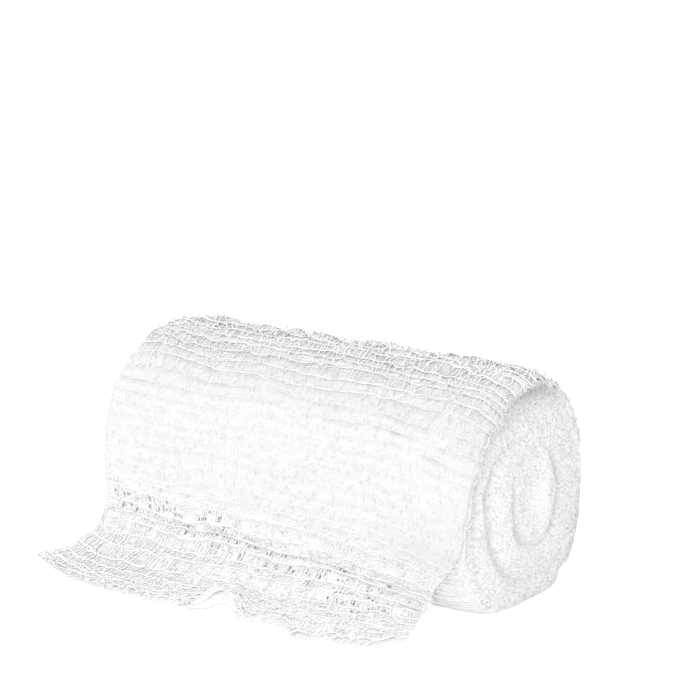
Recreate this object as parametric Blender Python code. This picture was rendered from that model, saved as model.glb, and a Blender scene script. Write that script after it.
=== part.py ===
"""A gauze bandage roll lying on its side, with the end of the strip come loose.

Metres, +Z up. The roll's axis runs along X, the loose end comes off the front
(-Y) side, and the origin is on the surface, under the middle of the roll.

The strip is one length of cloth. Two solids stand for it:
  wound_roll  all the turns that are still wound, with the main turns of the
              spiral raised on both ends
  loose_end   the outermost turn, which runs up the back, over the top and down
              the front, then flares out over the surface
"""

import math

import bmesh
import bpy

MM = 0.001

# ---- driving sizes ---------------------------------------------------------
ROLL_WIDTH = 107.5 * MM        # across the strip, end face to end face
HALF_WIDTH = ROLL_WIDTH / 2
CLOTH_THICKNESS = 1.6 * MM     # several plies of crinkled gauze
PIECE_GAP = 0.5 * MM           # between the roll and the loose turn

# The cross-section: round above the axis, sagged and fuller below it.
AXIS_HEIGHT = 28.2 * MM
SECTION_DEPTH = 29.2 * MM      # half of its front-to-back size
SECTION_RISE = 28.5 * MM       # axis to top
SECTION_SAG = 28.6 * MM        # axis to bottom, before the flat spot is pressed in
ROUND_POWER = 2.0
SAGGED_POWER = 3.0

# The soft shoulders between the winding and the end faces.
SHOULDER_LENGTH = 8.0 * MM
SHOULDER_DROP = 2.2 * MM       # all the way round
# Drops added where an end's rim is pulled in: the drop, and the angle of its
# middle and its spread, in degrees from the back over the top.
TUCKED_RIGHT = (2.6 * MM, 125, 48)
TUCKED_LEFT = (1.5 * MM, 106, 34)

# The ends: a spiral of main turns round a flattened core.
MAIN_TURNS = 3.3
GROOVE_DEPTH = 1.6 * MM
FACE_BULGE = 1.3 * MM
CORE_SINK = 1.6 * MM
CORE_SHARE = 0.21              # of the face's radius
TURNS_BEGIN = (0.13, 0.31)     # the grooves grow between these shares of the radius
TURNS_END = (0.9, 1.0)         # and fade between these
BULGE_FULLNESS = 0.8
CORE_PINCH = 1.3               # how tightly the rings close up round the core
CORE_BACK = 4.5 * MM           # the core lies this far behind the axis
CORE_DROP = 3.2 * MM           # and this far below it

# ---- the loose turn --------------------------------------------------------
# Angles in degrees round the axis: 0 back, 90 top, 180 front.
START_ANGLE = -50.2
# Where it comes out of the winding, low at the back, the roll is a turn thicker.
# Degrees below the back for the foot of that step, its crest, and the rest of it.
STEP_FOOT = 51.5
STEP_CREST = 57.8
STEP_BACK = 64
STEP_END = 90
STEP_RIM_POWER = 7             # how close to the rim it stays on the end faces
LEAVE_ARC = 136 * MM           # run of the strip that lies on the roll
FLARE_ARC = 22 * MM            # from the roll down to the surface
FLOOR_ARC = 11 * MM            # along the surface
STRIP_RUN = LEAVE_ARC + FLARE_ARC + FLOOR_ARC

# The strip's side edges along its run, all in mm.
SIDE_EDGE_COLUMNS = ("run", "left_x", "right_x")
SIDE_EDGES = (
    (0, -52.6, 52.6),
    (27, -53.6, 53.4),
    (75, -54.0, 54.4),
    (105, -53.6, 54.8),
    (123, -51.8, 54.0),
    (136, -52.0, 48.6),
    (147, -57.6, 41.4),
    (158, -62.8, 41.2),
    (169, -66.3, 43.6),
)
# The flare, across the strip from its left side (0) to its right (1): the angle
# in degrees where it leaves the roll, then in mm the y where it lands, the y of
# the cut edge, and how high that edge lies.
FLARE_COLUMNS = ("share", "leave_angle", "land_y", "edge_y", "lift")
FLARE = (
    (0.00, 202, -39.0, -41.5, 2.4),
    (0.07, 203, -40.0, -44.5, 1.2),
    (0.14, 204, -40.5, -46.6, 0.4),
    (0.25, 205, -41.0, -48.2, 0.0),
    (0.37, 205, -41.0, -49.6, 0.2),
    (0.50, 206, -41.0, -49.4, 0.3),
    (0.60, 207, -40.5, -51.2, 0.0),
    (0.74, 208, -40.0, -53.4, 0.5),
    (0.81, 210, -39.0, -52.4, 0.0),
    (0.88, 212, -38.0, -50.2, 0.3),
    (0.95, 215, -36.5, -50.0, 0.2),
    (1.00, 218, -35.5, -44.0, 0.6),
)
DROP_PULL = 7.0 * MM           # how long the flare keeps falling
LAND_PULL = 9.0 * MM           # how early it starts to level out

# The pucker that lifts the cut edge off the surface.
PUCKER_X = -4.6 * MM
PUCKER_WIDTH = 5.6 * MM
PUCKER_HEIGHT = 5.0 * MM
PUCKER_RUN = 17 * MM           # how far back from the cut edge it reaches

# Soft ridges across the strip: where along the run (mm), the share across where
# it peaks and its half-length there, height, half-width and drift (mm).
# Columns: run, peak, half_length, height, half_width, drift
RIDGES = (
    (14, 0.45, 0.60, 0.60, 3.0, 1.0),
    (24, 0.62, 0.50, 0.70, 2.8, -1.5),
    (35, 0.30, 0.45, 0.75, 3.2, 1.5),
    (44, 0.70, 0.45, 0.70, 2.8, 1.0),
    (53, 0.35, 0.55, 0.80, 3.0, -2.0),
    (62, 0.66, 0.50, 0.95, 2.8, 2.0),
    (70, 0.28, 0.40, 1.00, 2.8, 1.6),
    (77, 0.74, 0.42, 1.00, 2.6, -1.6),
    (85, 0.40, 0.60, 0.90, 2.8, 2.4),
    (93, 0.68, 0.40, 0.80, 2.8, 2.0),
    (102, 0.36, 0.50, 0.55, 3.0, -1.4),
    (113, 0.60, 0.55, 0.50, 3.2, 1.5),
    (125, 0.42, 0.60, 0.50, 3.2, 1.2),
    (140, 0.55, 0.60, 0.80, 2.8, 1.5),
    (149, 0.35, 0.50, 0.90, 2.6, -1.2),
    (157, 0.70, 0.45, 0.60, 2.6, 1.0),
)

# ---- mesh density ----------------------------------------------------------
AROUND = 56
FACE_RINGS = 16
SHOULDER_STEPS = (0.0, 0.3, 0.55, 0.75, 0.9, 1.0)   # share of the shoulder's length
ACROSS_STRIP = 22
ALONG_STRIP = 80

GAUZE_WHITE = (0.93, 0.93, 0.92, 1.0)
GAUZE_ROUGHNESS = 0.95


def clear_scene():
    for old in list(bpy.data.objects):
        bpy.data.objects.remove(old)


def gauze_material():
    material = bpy.data.materials.new("gauze")
    material.use_nodes = True
    shader = material.node_tree.nodes["Principled BSDF"]
    shader.inputs["Base Color"].default_value = GAUZE_WHITE
    shader.inputs["Roughness"].default_value = GAUZE_ROUGHNESS
    shader.inputs["Metallic"].default_value = 0.0
    return material


def smoothstep(low, high, value):
    share = min(max((value - low) / (high - low), 0.0), 1.0)
    return share * share * (3 - 2 * share)


def bell(distance, half_width):
    return math.exp(-((distance / half_width) ** 2))


def read_table(table, columns, name, at):
    """The value of a table's named column where its first column is at, on a smooth curve."""
    column = columns.index(name)
    last = len(table) - 1
    row = 0
    while row < last - 1 and at > table[row + 1][0]:
        row += 1
    here, after = table[row], table[row + 1]
    before = table[max(row - 1, 0)]
    beyond = table[min(row + 2, last)]
    step = after[0] - here[0]
    share = min(max((at - here[0]) / step, 0.0), 1.0)
    slope_in = (after[column] - before[column]) / (after[0] - before[0]) * step
    slope_out = (beyond[column] - here[column]) / (beyond[0] - here[0]) * step
    square, cube = share**2, share**3
    return (
        (2 * cube - 3 * square + 1) * here[column]
        + (cube - 2 * square + share) * slope_in
        + (3 * square - 2 * cube) * after[column]
        + (cube - square) * slope_out
    )


# ---- the wound body --------------------------------------------------------
def section_radius(angle):
    """Radius of the cross-section at an angle in radians from the back, over the top."""
    rise = SECTION_RISE if math.sin(angle) >= 0 else SECTION_SAG
    power = ROUND_POWER if math.sin(angle) >= 0 else SAGGED_POWER
    flatness = (abs(math.cos(angle)) / SECTION_DEPTH) ** power
    flatness += (abs(math.sin(angle)) / rise) ** power
    return flatness ** (-1 / power)


def emerging_step(angle):
    """How much thicker the roll is where the loose turn has yet to come out of it."""
    below = math.degrees(-angle) % 360
    raised = smoothstep(STEP_FOOT, STEP_CREST, below)
    raised *= 1 - smoothstep(STEP_BACK, STEP_END, below)
    return raised * (CLOTH_THICKNESS + PIECE_GAP)


def shoulder_drop(angle, x, outside=0.0):
    """How far the surface has come in towards the axis at x, or that far outside it."""
    share = (abs(x) - outside - (HALF_WIDTH - SHOULDER_LENGTH)) / SHOULDER_LENGTH
    share = min(max(share, 0.0), 1.0)
    tucked, middle, spread = TUCKED_RIGHT if x > 0 else TUCKED_LEFT
    depth = SHOULDER_DROP + tucked * bell(math.degrees(angle) - middle, spread)
    return depth * (1 - math.sqrt(1 - share**2))


def roll_point(angle, x, radius):
    return (
        x,
        radius * math.cos(angle),
        max(AXIS_HEIGHT + radius * math.sin(angle), 0.0),
    )


def face_height(share, angle):
    """How far the end face stands out at a share of its radius, on the spiral of main turns."""
    turn = share * MAIN_TURNS - angle / math.tau
    wound = smoothstep(*TURNS_BEGIN, share) * (1 - smoothstep(*TURNS_END, share))
    groove = GROOVE_DEPTH * (0.5 + 0.5 * math.cos(math.tau * turn)) * wound
    bulge = FACE_BULGE * math.sin(math.pi * share) ** BULGE_FULLNESS if share < 1 else 0.0
    core = CORE_SINK * bell(share, CORE_SHARE)
    return bulge - groove - core


def face_point(side, share, angle):
    x = side * HALF_WIDTH
    radius = (section_radius(angle) - shoulder_drop(angle, x)) * share
    radius += emerging_step(angle) * share**STEP_RIM_POWER
    to_core = (1 - share) ** CORE_PINCH
    _, y, z = roll_point(angle, x, radius)
    return (
        x + side * face_height(share, angle),
        y + CORE_BACK * to_core,
        z - CORE_DROP * to_core,
    )


def axial_stations():
    shoulder_start = HALF_WIDTH - SHOULDER_LENGTH
    right = [shoulder_start + SHOULDER_LENGTH * share for share in SHOULDER_STEPS]
    middle = [shoulder_start * share for share in (-0.5, 0.0, 0.5)]
    return [-x for x in reversed(right)] + middle + right


def ring_at_x(mesh, x):
    ring = []
    for step in range(AROUND):
        angle = math.tau * step / AROUND
        radius = section_radius(angle) - shoulder_drop(angle, x) + emerging_step(angle)
        ring.append(mesh.verts.new(roll_point(angle, x, radius)))
    return ring


def ring_on_face(mesh, side, share):
    return [
        mesh.verts.new(face_point(side, share, math.tau * step / AROUND))
        for step in range(AROUND)
    ]


def bridge(mesh, first, second):
    for step in range(AROUND):
        after = (step + 1) % AROUND
        mesh.faces.new((first[step], first[after], second[after], second[step]))


def close_face(mesh, side, rim):
    """Rings from the rim of an end face to a point at its core."""
    outer = rim
    for step in range(FACE_RINGS - 1, 0, -1):
        inner = ring_on_face(mesh, side, step / FACE_RINGS)
        bridge(mesh, outer, inner)
        outer = inner
    middle = mesh.verts.new(face_point(side, 0.0, 0.0))
    for step in range(AROUND):
        mesh.faces.new((outer[step], outer[(step + 1) % AROUND], middle))


def add_object(mesh, name, material):
    bmesh.ops.recalc_face_normals(mesh, faces=mesh.faces)
    data = bpy.data.meshes.new(name)
    mesh.to_mesh(data)
    mesh.free()
    data.shade_smooth()
    data.materials.append(material)
    made = bpy.data.objects.new(name, data)
    bpy.context.scene.collection.objects.link(made)
    return made


def make_wound_roll(material):
    mesh = bmesh.new()
    rings = [ring_at_x(mesh, x) for x in axial_stations()]
    for first, second in zip(rings, rings[1:]):
        bridge(mesh, first, second)
    close_face(mesh, -1, rings[0])
    close_face(mesh, 1, rings[-1])
    return add_object(mesh, "wound_roll", material)


# ---- the loose turn --------------------------------------------------------
def on_roll(share, run, x):
    """(y, z, inward) of the strip's middle where it lies on the roll. Inward is towards the axis."""
    leave = math.radians(read_table(FLARE, FLARE_COLUMNS, "leave_angle", share))
    start = math.radians(START_ANGLE)
    angle = start + (leave - start) * run / LEAVE_ARC
    clear = PIECE_GAP + CLOTH_THICKNESS / 2
    radius = section_radius(angle) - shoulder_drop(angle, x, clear) + clear
    y = radius * math.cos(angle)
    z = AXIS_HEIGHT + radius * math.sin(angle)
    return y, z, (-math.cos(angle), -math.sin(angle))


def bezier(start, first, second, end, share):
    rest = 1 - share
    return tuple(
        rest**3 * a + 3 * rest**2 * share * b + 3 * rest * share**2 * c + share**3 * d
        for a, b, c, d in zip(start, first, second, end)
    )


def off_roll(share, run, x):
    """(y, z) of the strip's middle from where it leaves the roll to the cut edge."""
    y, z, inward = on_roll(share, LEAVE_ARC, x)
    down = (-inward[1] * DROP_PULL, inward[0] * DROP_PULL)
    land_y = read_table(FLARE, FLARE_COLUMNS, "land_y", share) * MM
    edge_y = read_table(FLARE, FLARE_COLUMNS, "edge_y", share) * MM
    lift = read_table(FLARE, FLARE_COLUMNS, "lift", share) * MM
    level = CLOTH_THICKNESS / 2 + lift
    past = run - LEAVE_ARC
    if past <= FLARE_ARC:
        return bezier(
            (y, z),
            (y - down[0], z - down[1]),
            (land_y + LAND_PULL, level),
            (land_y, level),
            past / FLARE_ARC,
        )
    along = (past - FLARE_ARC) / FLOOR_ARC
    return land_y + (edge_y - land_y) * along, level


def ridge_height(share, run):
    total = 0.0
    for at, peak, half_length, height, half_width, drift in RIDGES:
        centre = (at + drift * math.sin(math.pi * (share - peak))) * MM
        fade = bell(share - peak, half_length)
        total += height * MM * fade * bell(run - centre, half_width * MM)
    return total


def pucker_height(run, x):
    near_edge = smoothstep(STRIP_RUN - PUCKER_RUN, STRIP_RUN, run)
    return PUCKER_HEIGHT * near_edge * bell(x - PUCKER_X, PUCKER_WIDTH)


def strip_point(share, run):
    """A point of the strip's middle surface: share across it, run along it from its start."""
    left = read_table(SIDE_EDGES, SIDE_EDGE_COLUMNS, "left_x", run / MM) * MM
    right = read_table(SIDE_EDGES, SIDE_EDGE_COLUMNS, "right_x", run / MM) * MM
    x = left + (right - left) * share
    ridge = ridge_height(share, run)
    if run <= LEAVE_ARC:
        y, z, inward = on_roll(share, run, x)
        return x, y - inward[0] * ridge, z - inward[1] * ridge
    y, z = off_roll(share, run, x)
    return x, y, z + ridge + pucker_height(run, x)


def make_loose_end(material):
    mesh = bmesh.new()
    grid = [
        [
            mesh.verts.new(strip_point(column / ACROSS_STRIP, STRIP_RUN * row / ALONG_STRIP))
            for column in range(ACROSS_STRIP + 1)
        ]
        for row in range(ALONG_STRIP + 1)
    ]
    for low, high in zip(grid, grid[1:]):
        for column in range(ACROSS_STRIP):
            mesh.faces.new((low[column], low[column + 1], high[column + 1], high[column]))
    strip = add_object(mesh, "loose_end", material)
    thicken = strip.modifiers.new("thickness", "SOLIDIFY")
    thicken.thickness = CLOTH_THICKNESS
    thicken.offset = 0.0
    return strip


def main():
    clear_scene()
    material = gauze_material()
    make_wound_roll(material)
    make_loose_end(material)


main()
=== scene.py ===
"""The looks of a gauze bandage roll that lies on its side with its end come loose.

Sizes here are in millimetres, and every mesh is written in metres, in the
frame's own axes: +X along the roll, -Y towards the loose end, +Z up.

A point of the strip is given by (share, run, height): share across it from its
left side (0) to its right (1), run along it in mm from where it comes out of
the winding, and height in mm above the middle of the cloth.
"""

import math
from functools import partial

import bpy
import numpy as np
from mathutils import Matrix, Vector


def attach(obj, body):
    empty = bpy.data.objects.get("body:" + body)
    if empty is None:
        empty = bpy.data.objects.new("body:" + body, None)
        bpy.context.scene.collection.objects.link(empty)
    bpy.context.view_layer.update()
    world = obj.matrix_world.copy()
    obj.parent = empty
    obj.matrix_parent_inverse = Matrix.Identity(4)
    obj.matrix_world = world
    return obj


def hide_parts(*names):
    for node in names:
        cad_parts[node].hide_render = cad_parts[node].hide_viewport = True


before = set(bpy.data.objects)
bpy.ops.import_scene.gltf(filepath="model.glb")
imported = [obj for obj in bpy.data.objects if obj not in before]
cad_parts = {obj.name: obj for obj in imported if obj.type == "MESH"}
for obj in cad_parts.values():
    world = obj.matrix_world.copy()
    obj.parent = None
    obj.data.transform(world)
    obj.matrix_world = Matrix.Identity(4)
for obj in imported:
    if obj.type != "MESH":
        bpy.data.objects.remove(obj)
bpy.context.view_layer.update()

METRES = 0.001                 # one millimetre

# ---- the solids' own sizes -------------------------------------------------
ROLL_WIDTH = 107.5
HALF_WIDTH = ROLL_WIDTH / 2
CLOTH_THICKNESS = 1.6
PIECE_GAP = 0.5

AXIS_HEIGHT = 28.2
SECTION_DEPTH = 29.2
SECTION_RISE = 28.5
SECTION_SAG = 28.6
ROUND_POWER = 2.0
SAGGED_POWER = 3.0

SHOULDER_LENGTH = 8.0
SHOULDER_DROP = 2.2
# How much further a shoulder is tucked in: mm, at how many degrees, spread in degrees
TUCKED_RIGHT = (2.6, 125, 48)
TUCKED_LEFT = (1.5, 106, 34)
FLAT_UNDERSIDE = 0.85          # how much less the shoulder is rounded where the roll lies
UNDERSIDE_DEGREES = 275
UNDERSIDE_SPREAD = 42

FACE_BULGE = 1.3
BULGE_FULLNESS = 0.8
CORE_PINCH = 0.8
CORE_BACK = 7.0
CORE_DROP = 2.9

START_ANGLE = -50.2
STEP_FOOT = 51.5
STEP_CREST = 57.8
STEP_BACK = 64
STEP_END = 90
STEP_RIM_POWER = 7
LEAVE_ARC = 136.0
LEAVE_DEGREES = 205            # about where on the roll that is
FLARE_ARC = 22.0
FLOOR_ARC = 11.0
STRIP_RUN = LEAVE_ARC + FLARE_ARC + FLOOR_ARC

# Where the strip's two sides are. Columns: run, left x, right x
SIDE_EDGES = (
    (0, -52.6, 52.6),
    (27, -53.6, 53.4),
    (75, -54.0, 54.4),
    (105, -53.6, 54.8),
    (114, -52.6, 54.6),
    (123, -51.8, 53.4),
    (128, -51.6, 50.7),
    (131.4, -51.6, 47.8),
    (135, -51.9, 44.8),
    (142, -55.0, 41.2),
    (147, -57.6, 40.6),
    (152, -60.1, 41.2),
    (158, -62.8, 43.0),
    (164, -64.9, 44.4),
    (169, -66.3, 44.4),
)
# How the strip comes off the roll. Columns: share, degrees at which it leaves, y where it lands,
# y of its cut edge, height above the surface
FLARE = (
    (0.00, 202, -39.0, -41.5, 2.4),
    (0.07, 203, -40.0, -44.5, 1.2),
    (0.14, 204, -40.5, -46.6, 0.4),
    (0.25, 205, -41.0, -48.2, 0.0),
    (0.37, 205, -41.0, -49.6, 0.2),
    (0.50, 206, -41.0, -49.4, 0.3),
    (0.60, 207, -40.5, -51.2, 0.0),
    (0.74, 208, -40.0, -53.4, 0.5),
    (0.81, 210, -39.0, -52.4, 0.0),
    (0.88, 212, -38.0, -50.2, 0.3),
    (0.95, 215, -36.5, -50.0, 0.2),
    (1.00, 218, -35.5, -44.0, 0.6),
)
DROP_PULL = 7.0
LAND_PULL = 9.0

# The upper plies of the cut end are pushed up in one place, and drawn back from the lower ones.
PUCKER_X = -5.3
PUCKER_WIDTH = 5.2
PUCKER_HEIGHT = 5.2
PUCKER_RUN = 17.0
DRAWN_BACK = 5.5
DRAWN_BACK_WIDTH = 7.5
NOTCH_X = 12.5                 # a shallow notch of the cut end beside it
NOTCH_WIDTH = 6.0
NOTCH_DEPTH = 3.6
CORNER_CUT = 2.2               # how far the cut end's right corner is rounded off
SIDE_RAGGED = 0.45             # how far the strip's two sides wander
CUT_RAGGED = 0.8               # and how far its cut end does

# The main folds across the strip. Columns: run, share where it is highest, half-length as a
# share, height, half-width, how far it drifts along the strip
RIDGES = (
    (14, 0.45, 0.60, 0.60, 3.0, 1.0),
    (24, 0.62, 0.50, 0.70, 2.8, -1.5),
    (35, 0.30, 0.45, 0.75, 3.2, 1.5),
    (44, 0.70, 0.45, 0.70, 2.8, 1.0),
    (53, 0.35, 0.55, 0.80, 3.0, -2.0),
    (62, 0.66, 0.50, 0.95, 2.8, 2.0),
    (70, 0.28, 0.40, 1.00, 2.8, 1.6),
    (77, 0.74, 0.42, 1.00, 2.6, -1.6),
    (85, 0.40, 0.60, 0.90, 2.8, 2.4),
    (93, 0.68, 0.40, 0.80, 2.8, 2.0),
    (102, 0.36, 0.50, 0.55, 3.0, -1.4),
    (113, 0.60, 0.55, 0.50, 3.2, 1.5),
    (125, 0.42, 0.60, 0.50, 3.2, 1.2),
    (140, 0.55, 0.60, 0.80, 2.8, 1.5),
    (149, 0.35, 0.50, 0.90, 2.6, -1.2),
    (157, 0.70, 0.45, 0.60, 2.6, 1.0),
)

# ---- the weave -------------------------------------------------------------
SEED = 7
ROW_PITCH = 3.5                # between the rows that run across the strip
ROW_PITCH_SPREAD = 0.6
ROW_WANDER = 0.8               # how far a row wanders along the strip
RUNG_COUNT = 96                # crimped yarns that run along the strip
ROW_RADIUS = 0.19
COMPANION_RADIUS = 0.12
FINE_RADIUS = 0.09
RUNG_RADIUS = 0.115
YARN_SIDES = 3                 # a yarn's section is a triangle
GROUND_OUTER = 0.22            # outer face of the ground cloth, above the strip's middle
GROUND_THICKNESS = 0.8
CREST = 0.50                   # how far the ground cloth rises under a row


# ---- small maths -----------------------------------------------------------
def smoothstep(low, high, value):
    share = np.clip((np.asarray(value, float) - low) / (high - low), 0.0, 1.0)
    return share * share * (3 - 2 * share)


def bell(distance, half_width):
    return np.exp(-((np.asarray(distance, float) / half_width) ** 2))


def close_to(middle, half_width):
    """A function that is 1 at one value and fades away from it."""
    return lambda value: bell(value - middle, half_width)


def past(low, high):
    """A function that rises from 0 at low to 1 at high."""
    return partial(smoothstep, low, high)


def blend(first, second, share):
    return first + (second - first) * share


def read_table(table, at):
    """A table's other columns where its first one is at, each on a smooth curve."""
    key, *columns = np.array(table, float).T
    last = len(key) - 1
    row = np.clip(np.searchsorted(key, at, side="right") - 1, 0, last - 1)
    before, beyond = np.maximum(row - 1, 0), np.minimum(row + 2, last)
    step = key[row + 1] - key[row]
    share = np.clip((at - key[row]) / step, 0.0, 1.0)
    square, cube = share**2, share**3
    found = []
    for value in columns:
        slope_in = (value[row + 1] - value[before]) / (key[row + 1] - key[before]) * step
        slope_out = (value[beyond] - value[row]) / (key[beyond] - key[row]) * step
        found.append(
            (2 * cube - 3 * square + 1) * value[row]
            + (cube - 2 * square + share) * slope_in
            + (3 * square - 2 * cube) * value[row + 1]
            + (cube - square) * slope_out
        )
    return found


def bezier(corners, share):
    """A value on the cubic curve that four corner values give."""
    rest = 1 - share
    weights = (rest**3, 3 * rest**2 * share, 3 * rest * share**2, share**3)
    return sum(weight * corner for weight, corner in zip(weights, corners))


def waves(seed, lengths, count=9):
    """A smooth random field of two coordinates in mm, between about -1 and 1.

    lengths are the shortest and longest wave along each coordinate."""
    draw = np.random.default_rng(SEED * 1000 + seed)
    (short_a, long_a), (short_b, long_b) = lengths
    turns_a = math.tau / np.exp(draw.uniform(math.log(short_a), math.log(long_a), count))
    turns_b = math.tau / np.exp(draw.uniform(math.log(short_b), math.log(long_b), count))
    turns_b *= draw.choice((-1, 1), count)
    phases = draw.uniform(0, math.tau, count)

    def field(a, b):
        total = 0.0
        for turn_a, turn_b, phase in zip(turns_a, turns_b, phases):
            total = total + np.sin(np.asarray(a) * turn_a + np.asarray(b) * turn_b + phase)
        return total / math.sqrt(count / 2) / 1.6

    return field


def unit(vectors):
    return vectors / np.maximum(np.linalg.norm(vectors, axis=-1, keepdims=True), 1e-9)


# ---- the surfaces that the solids have -------------------------------------
def section_radius(angle):
    """Radius of the roll's section at an angle in radians from the back, over the top."""
    upper = np.sin(angle) >= 0
    rise = np.where(upper, SECTION_RISE, SECTION_SAG)
    power = np.where(upper, ROUND_POWER, SAGGED_POWER)
    flatness = (np.abs(np.cos(angle)) / SECTION_DEPTH) ** power
    flatness = flatness + (np.abs(np.sin(angle)) / rise) ** power
    return flatness ** (-1 / power)


def emerging_step(angle):
    below = np.degrees(-angle) % 360
    raised = smoothstep(STEP_FOOT, STEP_CREST, below)
    raised = raised * (1 - smoothstep(STEP_BACK, STEP_END, below))
    return raised * (CLOTH_THICKNESS + PIECE_GAP)


def shoulder_drop(angle, x, outside=0.0):
    """How far the surface has come in towards the axis at x, or that far outside it."""
    share = (np.abs(x) - outside - (HALF_WIDTH - SHOULDER_LENGTH)) / SHOULDER_LENGTH
    share = np.clip(share, 0.0, 1.0)
    right, left = (
        tucked * bell(np.degrees(angle) - middle, spread)
        for tucked, middle, spread in (TUCKED_RIGHT, TUCKED_LEFT)
    )
    drop_and_painted_shade = SHOULDER_DROP + np.where(np.asarray(x) > 0, right, left)
    from_underside = np.degrees(angle) % 360 - UNDERSIDE_DEGREES
    drop_and_painted_shade = drop_and_painted_shade * (1 - FLAT_UNDERSIDE * bell(from_underside, UNDERSIDE_SPREAD))
    return drop_and_painted_shade * (1 - np.sqrt(1 - share**2))


def on_roll(share, run, x):
    """y, z and the direction to the axis, where the strip's middle lies on the roll."""
    leave = np.radians(read_table(FLARE, share)[0])
    start = math.radians(START_ANGLE)
    angle = start + (leave - start) * run / LEAVE_ARC
    clear = PIECE_GAP + CLOTH_THICKNESS / 2
    radius = section_radius(angle) - shoulder_drop(angle, x, clear) + clear
    y = radius * np.cos(angle)
    z = AXIS_HEIGHT + radius * np.sin(angle)
    return y, z, -np.cos(angle), -np.sin(angle)


def off_roll(share, run, x):
    """y and z of the strip's middle from where it leaves the roll to the cut edge."""
    y, z, inward_y, inward_z = on_roll(share, LEAVE_ARC, x)
    _, land_y, edge_y, lift = read_table(FLARE, share)
    level = CLOTH_THICKNESS / 2 + lift
    fall = np.clip((run - LEAVE_ARC) / FLARE_ARC, 0, 1)
    along = np.clip((run - LEAVE_ARC - FLARE_ARC) / FLOOR_ARC, 0, None)
    y = bezier((y, y + inward_z * DROP_PULL, land_y + LAND_PULL, land_y), fall)
    z = bezier((z, z - inward_y * DROP_PULL, level, level), fall)
    return y + (edge_y - land_y) * along, z


def ridge_height(share, run):
    total = 0.0
    for at, peak, half_length, height, half_width, drift in RIDGES:
        centre = at + drift * np.sin(math.pi * (share - peak))
        total = total + height * bell(share - peak, half_length) * bell(run - centre, half_width)
    return total


selvage_wave = waves(1, ((5, 26), (400, 900)))
cut_wave = waves(2, ((4, 22), (400, 900)))
crumple = waves(3, ((9, 30), (7, 18)))


def strip_middle(share, run):
    """The strip's middle surface, with its edges a little ragged."""
    share, run = np.broadcast_arrays(np.asarray(share, float), np.asarray(run, float))
    ragged = CUT_RAGGED * cut_wave(share * ROLL_WIDTH, 0)
    run = run + ragged * smoothstep(STRIP_RUN - 14, STRIP_RUN, run)
    left, right = read_table(SIDE_EDGES, run)
    left = left + SIDE_RAGGED * selvage_wave(run, 0)
    right = right + SIDE_RAGGED * selvage_wave(run, 300)
    x = blend(left, right, share)
    near_cut = smoothstep(STRIP_RUN - PUCKER_RUN, STRIP_RUN, run)
    pucker = PUCKER_HEIGHT * near_cut * bell(x - PUCKER_X, PUCKER_WIDTH)
    run = run - DRAWN_BACK * near_cut * bell(x - PUCKER_X, DRAWN_BACK_WIDTH)
    run = run - NOTCH_DEPTH * near_cut * bell(x - NOTCH_X, NOTCH_WIDTH)
    run = run - CORNER_CUT * near_cut * smoothstep(0.955, 1.0, share) ** 2
    over_top = bell(run - 67, 9)
    rough = 0.16 + 0.45 * over_top - 0.07 * bell(run - 110, 16)
    lifted = ridge_height(share, run) + rough * crumple(x, run)
    y_on, z_on, inward_y, inward_z = on_roll(share, run, x)
    y_off, z_off = off_roll(share, run, x)
    wound = run <= LEAVE_ARC
    y = np.where(wound, y_on - inward_y * lifted, y_off)
    z = np.where(wound, z_on - inward_z * lifted, z_off + lifted + pucker)
    return np.stack((x, y, z), -1)


def strip_normal(share, run):
    """Unit vectors out of the cloth, away from the roll."""
    across = strip_middle(share + 0.006, run) - strip_middle(share - 0.006, run)
    along = strip_middle(share, run + 0.9) - strip_middle(share, run - 0.9)
    return unit(np.cross(along, across))


def on_strip(share, run, height):
    return strip_middle(share, run) + strip_normal(share, run) * np.asarray(height)[..., None]


# ---- where the rows lie ----------------------------------------------------
row_drift = waves(4, ((24, 90), (16, 70)))
row_jitter = waves(5, ((5, 14), (3, 9)))
puff_size = waves(6, ((6, 24), (4, 14)))


def row_warp(share, run):
    """How far the weave is shifted along the strip there."""
    x = share * ROLL_WIDTH
    strength = 1 - 0.5 * smoothstep(95, 115, run) * (1 - smoothstep(128, 140, run))
    strength = strength + 0.6 * smoothstep(40, 60, run) * (1 - smoothstep(82, 104, run))
    return strength * (ROW_WANDER * row_drift(x, run) + 0.2 * row_jitter(x, run))


def run_of_warped(share, warped):
    run = warped
    for _ in range(4):
        run = warped - row_warp(share, run)
    return run


def row_places():
    draw = np.random.default_rng(SEED)
    steps = ROW_PITCH + ROW_PITCH_SPREAD * draw.uniform(-1, 1, 80)
    places = np.cumsum(steps) - 1.2
    return places[places < STRIP_RUN - 1.0]


ROWS = row_places()
ROW_STRENGTH = np.random.default_rng(SEED + 90).uniform(0.45, 1.15, len(ROWS))


def row_coordinate(share, run):
    """A number that is whole on each row and grows by one from row to row."""
    warped = run + row_warp(share, run)
    return np.interp(warped, ROWS, np.arange(len(ROWS)), left=-0.5, right=len(ROWS) - 0.5)


def liveliness(share, run):
    """How far the weave is pulled open and stands up: most over the top, least down the front."""
    over_top = 1 - 0.9 * smoothstep(80, 102, run)
    flared = 0.65 * smoothstep(120, 142, run)
    over_shoulder = 0.5 * smoothstep(0.86, 0.96, share) * (1 - smoothstep(94, 112, run))
    return np.maximum(np.maximum(over_top, flared), over_shoulder)


def row_crest(share, run):
    """1 on a row, 0 halfway between two rows."""
    return np.abs(np.cos(math.pi * row_coordinate(share, run))) ** 2.5


def ground_height(share, run):
    """Outer face of the ground cloth above the strip's middle: it rises under each row."""
    strength = np.interp(row_coordinate(share, run), np.arange(len(ROWS)), ROW_STRENGTH)
    crest = row_crest(share, run) - 0.35
    puff = 0.06 * puff_size(share * ROLL_WIDTH, run)
    return GROUND_OUTER + CREST * liveliness(share, run) * strength * crest + puff


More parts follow.
